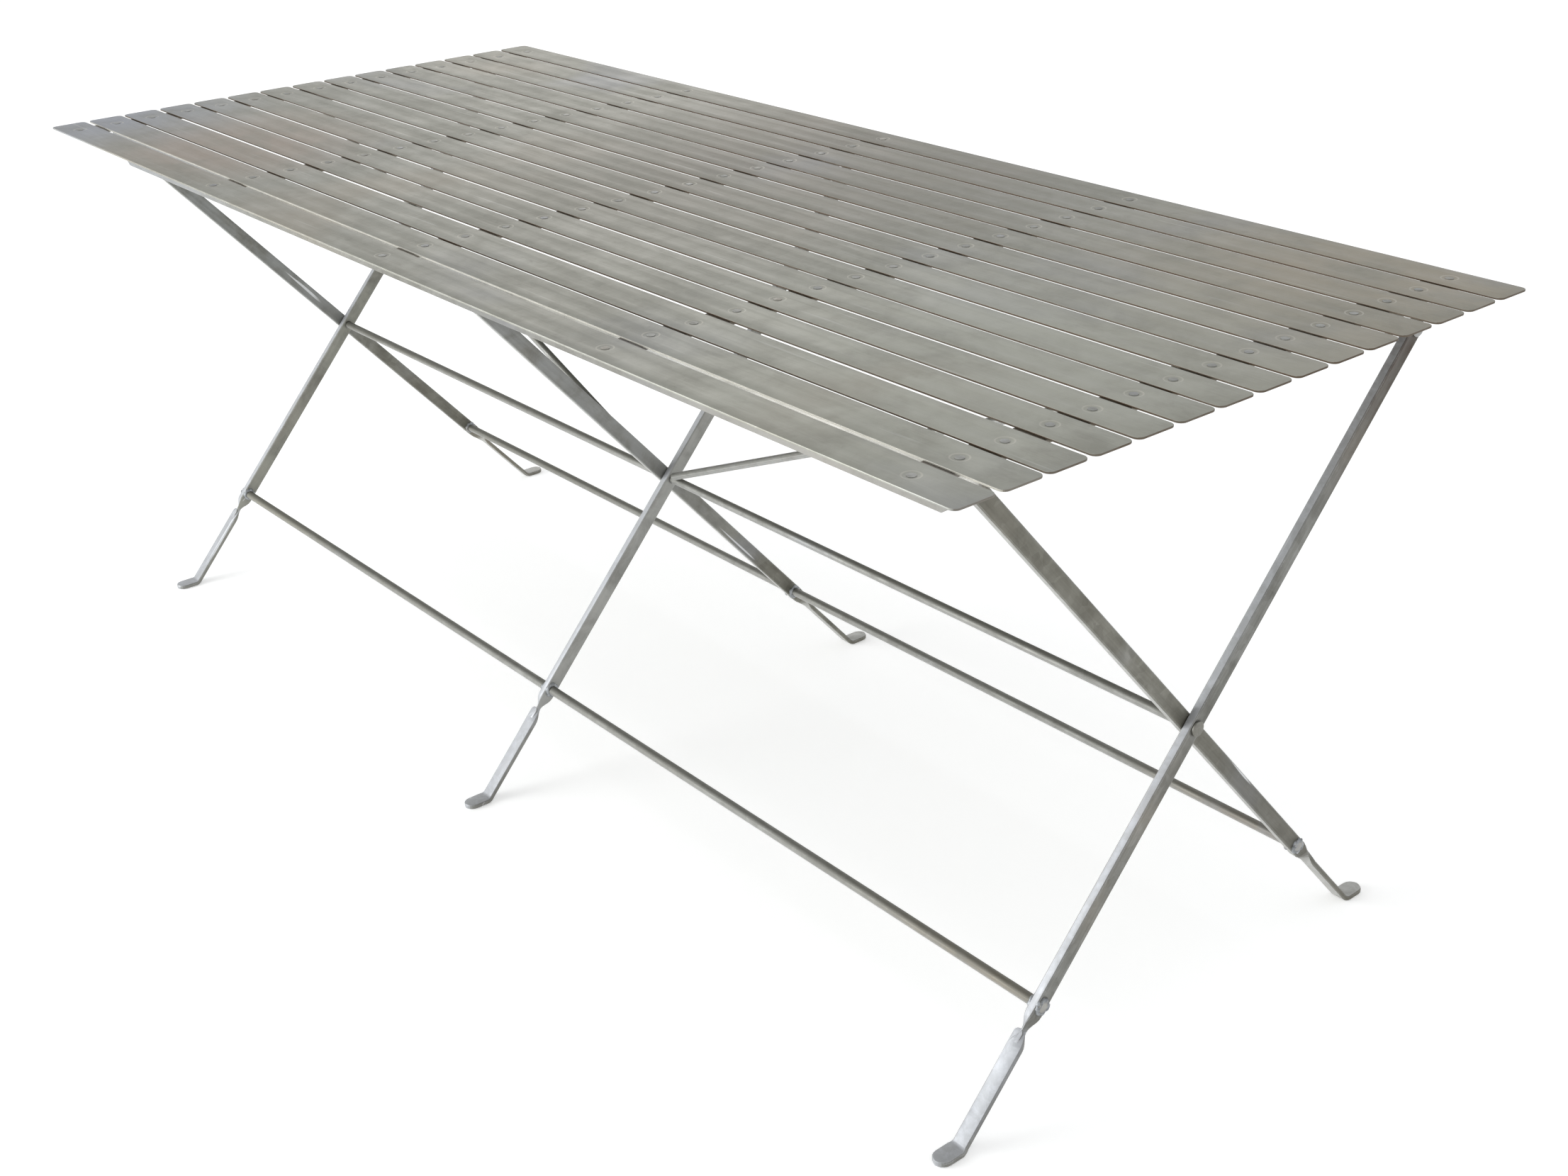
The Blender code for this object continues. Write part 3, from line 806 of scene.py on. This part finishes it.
@dataclass
class Finishes:
    """The table's finishes. The legs' turns are the slopes that the legs lie at."""

    # The slats' bright colour is their painted highlight. Of the patches, the dark one at the back centre is
    # painted shade and the pale one at the front right is painted light; the warm ones at the front left and
    # the back right and the bluish one at the left end tint the zinc.
    slat: Zinc = Zinc(
        "slat_zinc", (0.218, 0.214, 0.180), (0.272, 0.268, 0.228), (0.332, 0.328, 0.288),
        rim=(0.085, 0.058, 0.034), bright=(0.50, 0.48, 0.42), metallic=0.45, smoothest=0.40,
        roughest=0.54, bump=0.06, stain=0.16, scratch=0.25,
        patches=(
            Patch((-0.64, -0.27, 0.745), 0.26, (0.30, 0.228, 0.178), 0.60),
            Patch((-0.98, -0.34, 0.745), 0.30, (0.25, 0.27, 0.33), 0.60),
            Patch((-0.02, 0.25, 0.745), 0.55, (0.160, 0.142, 0.115), 0.65),
            Patch((0.88, 0.34, 0.745), 0.50, (0.315, 0.272, 0.200), 0.65),
            Patch((0.74, -0.16, 0.745), 0.48, (0.375, 0.378, 0.322), 0.75),
        ),
    )
    batten: Zinc = Zinc(
        "batten_zinc", (0.12, 0.10, 0.08), (0.19, 0.17, 0.14), (0.28, 0.265, 0.24), roughest=0.65
    )
    rail: Zinc = Zinc(
        "rail_zinc", (0.15, 0.145, 0.125), (0.215, 0.210, 0.185), (0.30, 0.295, 0.27),
        # The patch at the right end is painted light, making the rail's face paler towards the right; the one
        # at the left end makes it paler and cooler there.
        patches=(
            Patch((0.92, -0.34, 0.70), 0.80, (0.36, 0.35, 0.325), 0.85),
            Patch((-0.88, -0.34, 0.70), 0.50, (0.27, 0.28, 0.29), 0.75),
        ),
    )
    # The legs' bright colour is painted light on their narrow faces, and their near-white edge colour is edge
    # wear with a painted highlight along the arrises. On the hinged legs the dark patch low on the right leg
    # is painted shade, and the two other patches make the left and middle legs paler.
    hinged_leg: Zinc = Zinc(
        "hinged_leg_zinc", (0.105, 0.100, 0.078), (0.175, 0.170, 0.140), (0.285, 0.280, 0.245),
        turn=math.radians(48.74), bright=(0.44, 0.44, 0.42), wear_and_highlight=(0.72, 0.73, 0.74), scratch=0.8,
        cloud_scale=18.0, metallic=0.35,
        patches=(
            Patch((-0.90, -0.24, 0.58), 0.50, (0.27, 0.28, 0.275), 0.80),
            Patch((0.0, -0.16, 0.52), 0.50, (0.29, 0.295, 0.290), 0.90),
            Patch((0.90, 0.17, 0.15), 0.34, (0.095, 0.092, 0.075), 0.65),
        ),
    )
    resting_leg: Zinc = Zinc(
        "resting_leg_zinc", (0.115, 0.112, 0.096), (0.190, 0.190, 0.172), (0.30, 0.302, 0.285),
        turn=math.radians(-48.09), bright=(0.43, 0.44, 0.46), wear_and_highlight=(0.72, 0.73, 0.74), scratch=0.8,
        cloud_scale=18.0, metallic=0.35,
        # These patches make the left and middle resting legs paler low down and the top of the right one dark
        # brown.
        patches=(
            Patch((-0.90, -0.12, 0.30), 0.60, (0.29, 0.288, 0.245), 0.85),
            Patch((0.0, -0.12, 0.30), 0.50, (0.36, 0.36, 0.340), 0.90),
            Patch((0.90, 0.33, 0.70), 0.26, (0.055, 0.036, 0.022), 1.00),
        ),
    )
    # The rods' rim colour browns their stains and is painted shade on their upper sides, and their bright
    # colour is painted light on their undersides and pales their ends. The warm patches near their ends are
    # rust.
    rod: Zinc = Zinc(
        "rod_zinc", (0.17, 0.168, 0.150), (0.26, 0.258, 0.238), (0.38, 0.38, 0.36),
        warm=(0.225, 0.215, 0.19), rim=(0.085, 0.085, 0.070), bright=(0.44, 0.44, 0.425),
        smoothest=0.42, roughest=0.62, metallic=0.5, cloud_scale=22.0, bump=0.16,
        patches=(
            Patch((-0.72, -0.02, 0.24), 0.70, (0.125, 0.118, 0.090), 0.75),
            Patch((0.86, -0.23, 0.13), 0.30, (0.230, 0.195, 0.140), 0.70),
            Patch((0.86, 0.20, 0.12), 0.26, (0.200, 0.165, 0.120), 0.70),
            Patch((-0.86, -0.23, 0.13), 0.34, (0.205, 0.195, 0.150), 0.70),
        ),
    )
    fitting: Zinc = Zinc(
        "fitting_zinc", (0.15, 0.145, 0.12), (0.22, 0.215, 0.19), (0.32, 0.315, 0.29),
        crystal_scale=160.0, cloud_scale=30.0,
    )
    rivet: Zinc = Zinc(
        "rivet_zinc", (0.20, 0.20, 0.18), (0.29, 0.29, 0.27), (0.42, 0.42, 0.40),
        crystal_scale=220.0, cloud_scale=60.0, edge_width=0.4 * MM,
    )
    weld: Zinc = Zinc(
        "weld_zinc", (0.20, 0.21, 0.215), (0.36, 0.375, 0.385), (0.56, 0.58, 0.60),
        crystal_scale=300.0, cloud_scale=120.0, bump=0.35, roughest=0.7,
    )


@dataclass
class Top:
    """The slatted top: slats, battens, their rivets and the deep front rail.

    A dish's steps are shares of its radius inwards and of its depth down. A rivet tail's steps are
    shares of its depth down and the size that each ring keeps.
    """

    finishes: Finishes
    slats: int = 15
    battens: tuple[str, ...] = ("left_end", "left", "middle", "right", "right_end")
    corner: float = 7.5 * MM
    edge_softness: float = 0.35 * MM
    dish_radius: float = 10.0 * MM
    dish_depth: float = 0.85 * MM
    dish_sink: float = 0.04 * MM
    lens_height: float = 3.0 * MM
    dish_steps: Steps = ((0.18, 0.42), (0.20, 0.30), (0.20, 0.18), (0.18, 0.10))
    rivet_radius: float = 4.6 * MM
    head_sink: float = 0.12 * MM
    head_rim: float = 0.6 * MM
    head_slope: float = 1.2 * MM
    head_crown: float = 0.1 * MM
    tail_radius: float = 5.6 * MM
    tail_depth: float = 1.5 * MM
    tail_steps: Steps = ((0.55, 0.86), (0.30, 0.72), (0.15, 0.5))
    batten_corner: float = 3.0 * MM
    batten_softness: float = 0.6 * MM
    rail_softness: float = 0.7 * MM
    seed: int = 7
    batten_x: list[float] = field(default_factory=list)
    slat_y: list[float] = field(default_factory=list)

    def build(self) -> None:
        """Finds the rows of slats and battens, then builds the top's pieces."""
        self.batten_x = [middle_of("batten_" + name).x for name in self.battens]
        self.slat_y = [middle_of(f"slat_{number:02d}").y for number in range(1, self.slats + 1)]
        self.build_slats()
        self.build_battens()
        self.build_rivets()
        self.build_rail()

    def build_slats(self) -> None:
        """Models one slat with its dished rivet seats and copies it across the top."""
        low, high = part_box("slat_01")
        slat = Bench.block("slat_master", low, high)
        with Bench.editing(slat, Pick.EDGES):
            Bench.select_edges(slat, stands_up)
            bpy.ops.mesh.bevel(offset=self.corner, segments=7)
        with Bench.editing(slat, Pick.EDGES):
            Bench.select_edges(slat, lies_level)
            bpy.ops.mesh.bevel(offset=self.edge_softness, segments=2)
        cutter = Bench.joined([self._dish(x, high.z) for x in self.batten_x], "dish_cutter")
        Bench.modify(slat, "BOOLEAN", operation="DIFFERENCE", solver="EXACT", object=cutter)
        bpy.data.objects.remove(cutter)
        Bench.smooth(slat, angle=35.0)
        chance = random.Random(self.seed)
        for number, y in enumerate(self.slat_y, 1):
            piece = Bench.copied(slat, f"top_slat_{number:02d}", (0.0, y - self.slat_y[0], 0.0))
            tone = chance.uniform(0.0, 1.0)
            Bench.paint(piece, "tone", lambda normal, tone=tone: tone)
            Bench.paint(piece, "rim", self._front_rim if number <= 2 else self._rim)
            # painted highlights: the second slat's front edge as a bright line in the gap, and every slat's
            # upper arrises and dish lips paler
            Bench.paint(piece, "bright", self._front_edge_highlight if number == 2 else self._arris_highlight)
            Bench.fit(piece, self.finishes.slat, Body.TOP, Slot.SLAT, [f"slat_{number:02d}"])
        bpy.data.objects.remove(slat)

    @staticmethod
    def _rim(normal: Vector) -> float:
        """Says how browned a slat's face is: its cut ends are all over, its long edges below."""
        return 1.0 if abs(normal.z) < 0.45 or abs(normal.x) > 0.25 else 0.0

    @staticmethod
    def _front_rim(normal: Vector) -> float:
        """Says how browned a face of a front slat is, whose long front edge is left clean."""
        return 0.6 * Top._rim(normal) if normal.y > -0.8 else 0.0

    @staticmethod
    def _arris_highlight(normal: Vector) -> float:
        """Says how much painted highlight a slat's face carries: its upper arrises and the lips of its dishes
        are painted paler.
        """
        return 0.55 if 0.4 < normal.z < 0.987 else 0.0

    @staticmethod
    def _front_edge_highlight(normal: Vector) -> float:
        """Says how much painted highlight a face of the second slat carries, whose front edge is painted as a
        bright line as well.
        """
        return 1.0 if normal.y < -0.6 else Top._arris_highlight(normal)

    def _dish(self, x: float, top: float) -> bpy.types.Object:
        """Models the shallow round dish that a rivet is pulled into.

        Args:
            x: its place along the first slat.
            top: height of the slat's upper face.

        Returns:
            A lens that is cut out of the slat.
        """
        z = top + self.lens_height / 2 + self.dish_sink
        lens = Bench.stub("dish", (x, self.slat_y[0], z), self.dish_radius, self.lens_height, 28)
        with Bench.editing(lens):
            Bench.select_faces(lens, lambda normal: normal.z < -FACING)
            for inward, down in self.dish_steps:
                bpy.ops.mesh.inset(
                    thickness=self.dish_radius * inward, depth=self.dish_depth * down, use_outset=False
                )
        return lens

    def build_battens(self) -> None:
        """Models the battens under the slats as bars with rolled edges."""
        master = None
        for name, x in zip(self.battens, self.batten_x):
            low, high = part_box("batten_" + name)
            if master is None:
                master = Bench.block("batten_master", low, high)
                with Bench.editing(master, Pick.EDGES):
                    Bench.select_edges(master, stands_up)
                    bpy.ops.mesh.bevel(offset=self.batten_corner, segments=3)
                Bench.soften(master, self.batten_softness)
            piece = Bench.copied(master, "cross_batten_" + name, (x - self.batten_x[0], 0.0, 0.0))
            Bench.fit(piece, self.finishes.batten, Body.TOP, Slot.BATTEN, ["batten_" + name])
        bpy.data.objects.remove(master)

    def build_rivets(self) -> None:
        """Models one flush rivet with its domed tail and sets a row of them in each batten."""
        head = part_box("slat_01")[1].z - self.head_sink
        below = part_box("batten_middle")[0].z
        for name, x in zip(self.battens, self.batten_x):
            row = [self._rivet(x, y, head, below) for y in self.slat_y]
            piece = Bench.joined(row, "rivets_" + name)
            Bench.smooth(piece, angle=50.0)
            Bench.fit(piece, self.finishes.rivet, Body.TOP, Slot.FITTING)

    def _rivet(self, x: float, y: float, head: float, below: float) -> bpy.types.Object:
        """Models a rivet with a flat head in its dish and a domed tail under the batten.

        Args:
            x: its place along the table.
            y: its place across the table.
            head: height of its head.
            below: height of the batten's underside.

        Returns:
            The rivet.
        """
        shank = head - below
        rivet = Bench.stub("rivet", (x, y, below + shank / 2), self.rivet_radius, shank, 18)
        grow = self.tail_radius / self.rivet_radius
        with Bench.editing(rivet):
            Bench.select_faces(rivet, lambda normal: normal.z > FACING)
            bpy.ops.mesh.inset(thickness=self.head_rim, depth=0.0)
            bpy.ops.mesh.inset(thickness=self.head_slope, depth=self.head_crown)
            Bench.select_faces(rivet, lambda normal: normal.z < -FACING)
            bpy.ops.mesh.extrude_region_move(TRANSFORM_OT_translate={"value": (0.0, 0.0, 0.0)})
            bpy.ops.transform.resize(value=(grow, grow, 1.0), center_override=(x, y, below))
            for share, size in self.tail_steps:
                drop = (0.0, 0.0, -self.tail_depth * share)
                bpy.ops.mesh.extrude_region_move(TRANSFORM_OT_translate={"value": drop})
                bpy.ops.transform.resize(value=(size, size, 1.0), center_override=(x, y, below))
        return rivet

    def build_rail(self) -> None:
        """Models the deep front rail with its cut lower corners and softened arrises."""
        rail = Bench.from_frame("front_rail", "deep_front_rail")
        Bench.soften(rail, self.rail_softness, 3)
        Bench.fit(rail, self.finishes.rail, Body.TOP, Slot.RAIL, ["front_rail"])


class Rod:
    """How a round rod is painted: painted shade on its upper side, painted light on its underside, and paler
    ends.
    """

    # the most painted shade on a rod's top, the most painted light on its underside, and the paleness of its
    # ends
    MOST_TOP_SHADE = 0.62
    MOST_UNDERSIDE_LIGHT = 0.85
    END_PALENESS = 0.80

    @staticmethod
    def paint_light_and_shade(rod: bpy.types.Object) -> None:
        """Marks a rod's faces for painted shade above, painted light below and paler ends.

        Args:
            rod: the rod.
        """
        # painted shade on the rod's upper side and painted light on its underside
        Bench.paint(rod, "rim", lambda normal: held(normal.z * 1.1 - 0.05, 0.0, Rod.MOST_TOP_SHADE))
        Bench.paint(rod, "bright", Rod._underside_light_and_pale_end)

    @staticmethod
    def _underside_light_and_pale_end(normal: Vector) -> float:
        """Returns how much painted light a face with this normal carries below, and how pale an end face is.
        """
        if abs(normal.x) > FACING:
            return Rod.END_PALENESS
        return held(0.25 - normal.z * 0.9, 0.0, Rod.MOST_UNDERSIDE_LIGHT)


@dataclass
class CrossFrames:
    """The two leg frames: bars, rods, pins, plates and the welds that hold them."""

    finishes: Finishes
    sides: tuple[str, ...] = ("left", "middle", "right")
    arris: float = 0.9 * MM
    arris_angle: float = 38.0
    twist_from: float = 332.0 * MM
    twist_to: float = 372.0 * MM
    twist_rings: int = 10
    resting_neck: float = 0.30
    hinged_neck: float = 0.72
    lap_left: float = 9.7 * MM
    lap_right: float = 1.8 * MM
    lap_top: float = 20.0 * MM
    lap_foot: float = 16.0 * MM
    lap_thickness: float = 5.2 * MM
    lap_rounding: float = 0.48
    lap_softness: float = 0.8 * MM
    rod_softness: float = 0.7 * MM
    plate_softness: float = 0.4 * MM
    pin_softness: float = 0.5 * MM
    weld_size: float = 2.7 * MM
    weld_radius: float = 7.0 * MM
    weld_lumps: float = 1.0 * MM
    weld_offset: float = 5.0 * MM
    seed: int = 21

    def build(self) -> None:
        """Builds both frames and the fittings that they turn on."""
        for side in self.sides:
            self.build_leg("hinged", side, self.finishes.hinged_leg, Body.HINGED_FRAME, self.hinged_neck)
            self.build_leg("resting", side, self.finishes.resting_leg, Body.RESTING_FRAME, self.resting_neck)
            self.build_lap(side)
        for node in ("hinged_low_rod", "resting_low_rod", "resting_top_rod", "pivot_rod"):
            self.build_rod(node)
        for side in self.sides:
            self.build_fitting("hinge_lug_" + side, self.plate_softness)
            self.build_fitting("rest_plate_" + side, self.plate_softness)
            self.build_fitting("hinge_pin_" + side, self.pin_softness)
        for side in ("left", "right"):
            self.build_fitting("pivot_washer_" + side, self.pin_softness)
        self.build_welds()

    @staticmethod
    def _body_of(node: str) -> Body:
        """Returns the body that holds a frame node."""
        return Body(FRAME["nodes"][node]["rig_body"])

    def _line_of(self, prefix: str, side: str) -> tuple[Vector, Vector]:
        """Finds the line that a leg lies along.

        Args:
            prefix: the frame that the leg is in.
            side: the leg's place along the table.

        Returns:
            The leg's point on the pivot and the direction down the leg.
        """
        pivot, rod = middle_of("pivot_rod"), middle_of(prefix + "_low_rod")
        pivot.x = rod.x = middle_of(f"{prefix}_leg_{side}").x
        return pivot, (rod - pivot).normalized()

    def build_leg(self, prefix: str, side: str, finish: Zinc, body: Body, neck: float) -> None:
        """Models a leg as a flat bar with rolled arrises, a necked twist and a turned-out foot.

        Args:
            prefix: the frame that the leg is in.
            side: the leg's place along the table.
            finish: the leg's finish.
            body: the body that it rides on.
            neck: the twist's narrowest size as a share of the bar.
        """
        node = f"{prefix}_leg_{side}"
        leg = Bench.from_frame(node, "bar_" + node)
        pivot, down = self._line_of(prefix, side)
        for ring in range(1, self.twist_rings):
            part = ring / self.twist_rings
            reach = self.twist_from + (self.twist_to - self.twist_from) * part
            share = 1.0 - (1.0 - neck) * math.sin(math.pi * part) ** 2
            self._shrink_ring(leg, pivot, down, reach, share)
        Bench.soften(leg, self.arris, angle=self.arris_angle)
        # painted light: the leg's narrow faces, shank and foot painted paler, as if lit from the front
        Bench.paint(leg, "bright", self._narrow_face_light)
        Bench.fit(leg, finish, body, Slot.LEG, [node])

    @staticmethod
    def _shrink_ring(
        leg: bpy.types.Object, pivot: Vector, down: Vector, reach: float, share: float
    ) -> None:
        """Draws one ring of a leg's section in towards the leg's line.

        Args:
            leg: the leg.
            pivot: the leg's point on the pivot.
            down: the direction down the leg.
            reach: the ring's distance from the pivot.
            share: the ring's new size as a share of its old one.
        """
        with Bench.editing(leg, Pick.EDGES):
            Bench.select_edges(
                leg,
                lambda a, b: max(abs((end - pivot).dot(down) - reach) for end in (a, b)) < 0.5 * MM,
            )
            bpy.ops.transform.resize(value=(share, share, share), center_override=pivot + down * reach)

    def build_lap(self, side: str) -> None:
        """Models the round-ended lap at the top of a resting leg's shank, beside the twist.

        Args:
            side: the leg's place along the table.
        """
        pivot, down = self._line_of("resting", side)
        half = self.lap_thickness / 2
        name = "shank_lap_resting_" + side
        lap = Bench.block(
            name, (-self.lap_left, -half, -self.lap_foot), (self.lap_right, half, self.lap_top)
        )
        with Bench.editing(lap, Pick.EDGES):
            Bench.select_edges(lap, lambda a, b: min(a.z, b.z) > 0.0 and abs(a.y - b.y) > half)
            bpy.ops.mesh.bevel(offset=(self.lap_left + self.lap_right) * self.lap_rounding, segments=7)
        Bench.soften(lap, self.lap_softness)
        right = Vector((1.0, 0.0, 0.0))
        turn = Matrix((right, right.cross(down), -down)).transposed()
        lap.matrix_world = Matrix.Translation(pivot + down * self.twist_to) @ turn.to_4x4()
        Bench.named(name)
        # painted light on the lap's wide faces, as on the shank
        Bench.paint(lap, "bright", self._narrow_face_light)
        Bench.fit(lap, self.finishes.resting_leg, Body.RESTING_FRAME, Slot.LEG)

    @staticmethod
    def _narrow_face_light(normal: Vector) -> float:
        """Says how much painted light a leg's face carries: its narrow faces, its shank and its foot are
        painted paler, as if lit from the front.
        """
        return held((0.80 - abs(normal.x)) / 0.5, 0.0, 1.0)

    def build_rod(self, node: str) -> None:
        """Models a drawn rod with rounded ends.

        Args:
            node: the frame node of the rod.
        """
        rod = Bench.from_frame(node, "drawn_" + node)
        Bench.soften(rod, self.rod_softness, 3)
        Rod.paint_light_and_shade(rod)
        Bench.fit(rod, self.finishes.rod, self._body_of(node), Slot.ROD, [node])

    def build_fitting(self, node: str, softness: float) -> None:
        """Models a small plate or pin with broken edges.

        Args:
            node: the frame node of the fitting.
            softness: width of its broken edges.
        """
        piece = Bench.from_frame(node, "shaped_" + node)
        Bench.soften(piece, softness)
        Bench.fit(piece, self.finishes.fitting, self._body_of(node), Slot.FITTING, [node])

    def build_welds(self) -> None:
        """Runs a bead of weld round each low rod where it passes through a leg."""
        for prefix, body in (("hinged", Body.HINGED_FRAME), ("resting", Body.RESTING_FRAME)):
            rod = middle_of(prefix + "_low_rod")
            beads = []
            for number, side in enumerate(self.sides):
                leg = middle_of(f"{prefix}_leg_{side}")
                for face in (leg.x - self.weld_offset, leg.x + self.weld_offset):
                    beads.append(self._bead((face, rod.y, rod.z), number + self.seed))
            piece = Bench.joined(beads, prefix + "_rod_welds")
            Bench.smooth(piece, angle=70.0)
            Bench.fit(piece, self.finishes.weld, body, Slot.FITTING)

    def _bead(self, centre: Sequence[float], seed: int) -> bpy.types.Object:
        """Models a lumpy ring of weld round a rod.

        Args:
            centre: middle of the ring.
            seed: choice of its lumps.

        Returns:
            The ring.
        """
        bpy.ops.object.select_all(action="DESELECT")
        bpy.ops.mesh.primitive_torus_add(
            major_radius=self.weld_radius, minor_radius=self.weld_size, major_segments=26,
            minor_segments=8, location=centre, rotation=(0.0, math.pi / 2, 0.0),
        )
        bead = Bench.named("bead")
        with Bench.editing(bead, Pick.VERTICES):
            bpy.ops.mesh.select_all(action="SELECT")
            bpy.ops.transform.vertex_random(offset=self.weld_lumps, uniform=0.6, normal=0.4, seed=seed)
        return bead


@dataclass
class Braces:
    """The two diagonal braces under the top and the ears that they hang from."""

    finishes: Finishes
    brace_softness: float = 0.5 * MM
    brace_angle: float = 50.0
    ear_softness: float = 0.3 * MM

    def build(self) -> None:
        """Builds each brace and its ear."""
        for side, body in (("left", Body.LEFT_BRACE), ("right", Body.RIGHT_BRACE)):
            brace = Bench.from_frame("brace_" + side, "drawn_brace_" + side)
            Bench.soften(brace, self.brace_softness, angle=self.brace_angle)
            Rod.paint_light_and_shade(brace)
            Bench.fit(brace, self.finishes.rod, body, Slot.ROD, ["brace_" + side])
            ear = Bench.from_frame("brace_ear_" + side, "shaped_brace_ear_" + side)
            Bench.soften(ear, self.ear_softness)
            Bench.fit(ear, self.finishes.fitting, Body.TOP, Slot.FITTING, ["brace_ear_" + side])


@dataclass(frozen=True)
class SoftLight:
    """A round soft lamp that faces the table."""

    name: str
    place: Place
    size: float
    power: float
    colour: Colour = (1.0, 1.0, 1.0)

    def build(self, aim: Vector) -> None:
        """Adds the lamp and turns it to a point.

        Args:
            aim: the point that it faces.
        """
        data = bpy.data.lights.new(self.name, "AREA")
        data.shape = "DISK"
        data.size = self.size
        data.energy = self.power
        data.color = self.colour
        lamp = bpy.data.objects.new(self.name, data)
        lamp.location = self.place
        lamp.rotation_euler = (aim - Vector(self.place)).to_track_quat("-Z", "Y").to_euler()
        bpy.context.scene.collection.objects.link(lamp)


@dataclass
class Studio:
    """Pale floor, soft light and the camera."""

    eye: Place = (1.9879, -1.4298, 1.3914)
    heading: float = math.radians(141.035)
    dip: float = math.radians(26.17)
    roll: float = math.radians(-1.714)
    lens: float = 45.43
    sensor: float = 36.0
    aim: Place = (0.0, 0.0, 0.5)
    lamps: tuple[SoftLight, ...] = (
        SoftLight("front_window", (-2.2, -4.2, 1.4), 3.4, 145.0, (0.97, 0.99, 1.0)),
        SoftLight("low_front", (-1.2, -3.4, 0.40), 1.4, 32.0, (0.96, 0.98, 1.0)),
        SoftLight("back_window", (-5.2, 3.6, 2.3), 2.6, 14.0, (1.0, 0.95, 0.86)),
    )
    air: Colour = (0.97, 0.98, 1.0)
    air_strength: float = 0.85
    floor_half: float = 60.0
    floor_drop: float = 0.1 * MM
    floor_colour: Colour = (0.88, 0.88, 0.87)
    floor_glow: float = 0.30

    def build(self) -> None:
        """Builds the floor, the light and the camera."""
        self.build_floor()
        for lamp in self.lamps:
            lamp.build(Vector(self.aim))
        world = bpy.data.worlds.new("studio_air")
        world.use_nodes = True
        background = world.node_tree.nodes["Background"]
        background.inputs["Color"].default_value = (*self.air, 1.0)
        background.inputs["Strength"].default_value = self.air_strength
        bpy.context.scene.world = world
        bpy.context.scene.view_settings.view_transform = "Standard"
        self.build_camera()

    def build_floor(self) -> None:
        """Lays the pale floor just under the feet."""
        bpy.ops.object.select_all(action="DESELECT")
        bpy.ops.mesh.primitive_plane_add(size=2 * self.floor_half, location=(0.0, 0.0, -self.floor_drop))
        floor = Bench.named("studio_floor")
        finish = Plain("pale_floor", self.floor_colour, self.floor_glow)
        floor.data.materials.append(finish.material())

    def build_camera(self) -> None:
        """Sets the camera at its eye point, with its roll."""
        forward = Vector((
            math.cos(self.heading) * math.cos(self.dip),
            math.sin(self.heading) * math.cos(self.dip),
            -math.sin(self.dip),
        ))
        level = forward.cross(Vector((0.0, 0.0, 1.0))).normalized()
        upright = level.cross(forward)
        right = level * math.cos(self.roll) + upright * math.sin(self.roll)
        up = right.cross(forward)
        data = bpy.data.cameras.new("table_camera")
        data.lens = self.lens
        data.sensor_width = self.sensor
        camera = bpy.data.objects.new("table_camera", data)
        turn = Matrix((right, up, -forward)).transposed()
        camera.matrix_world = Matrix.Translation(Vector(self.eye)) @ turn.to_4x4()
        bpy.context.scene.collection.objects.link(camera)
        bpy.context.scene.camera = camera


def main() -> None:
    """Builds the table's sub-assemblies and the studio in order."""
    logging.basicConfig(level=logging.INFO, format="%(name)s %(message)s")
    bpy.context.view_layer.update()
    finishes = Finishes()
    Top(finishes).build()
    CrossFrames(finishes).build()
    Braces(finishes).build()
    Studio().build()


if __name__ == "__main__":
    main()
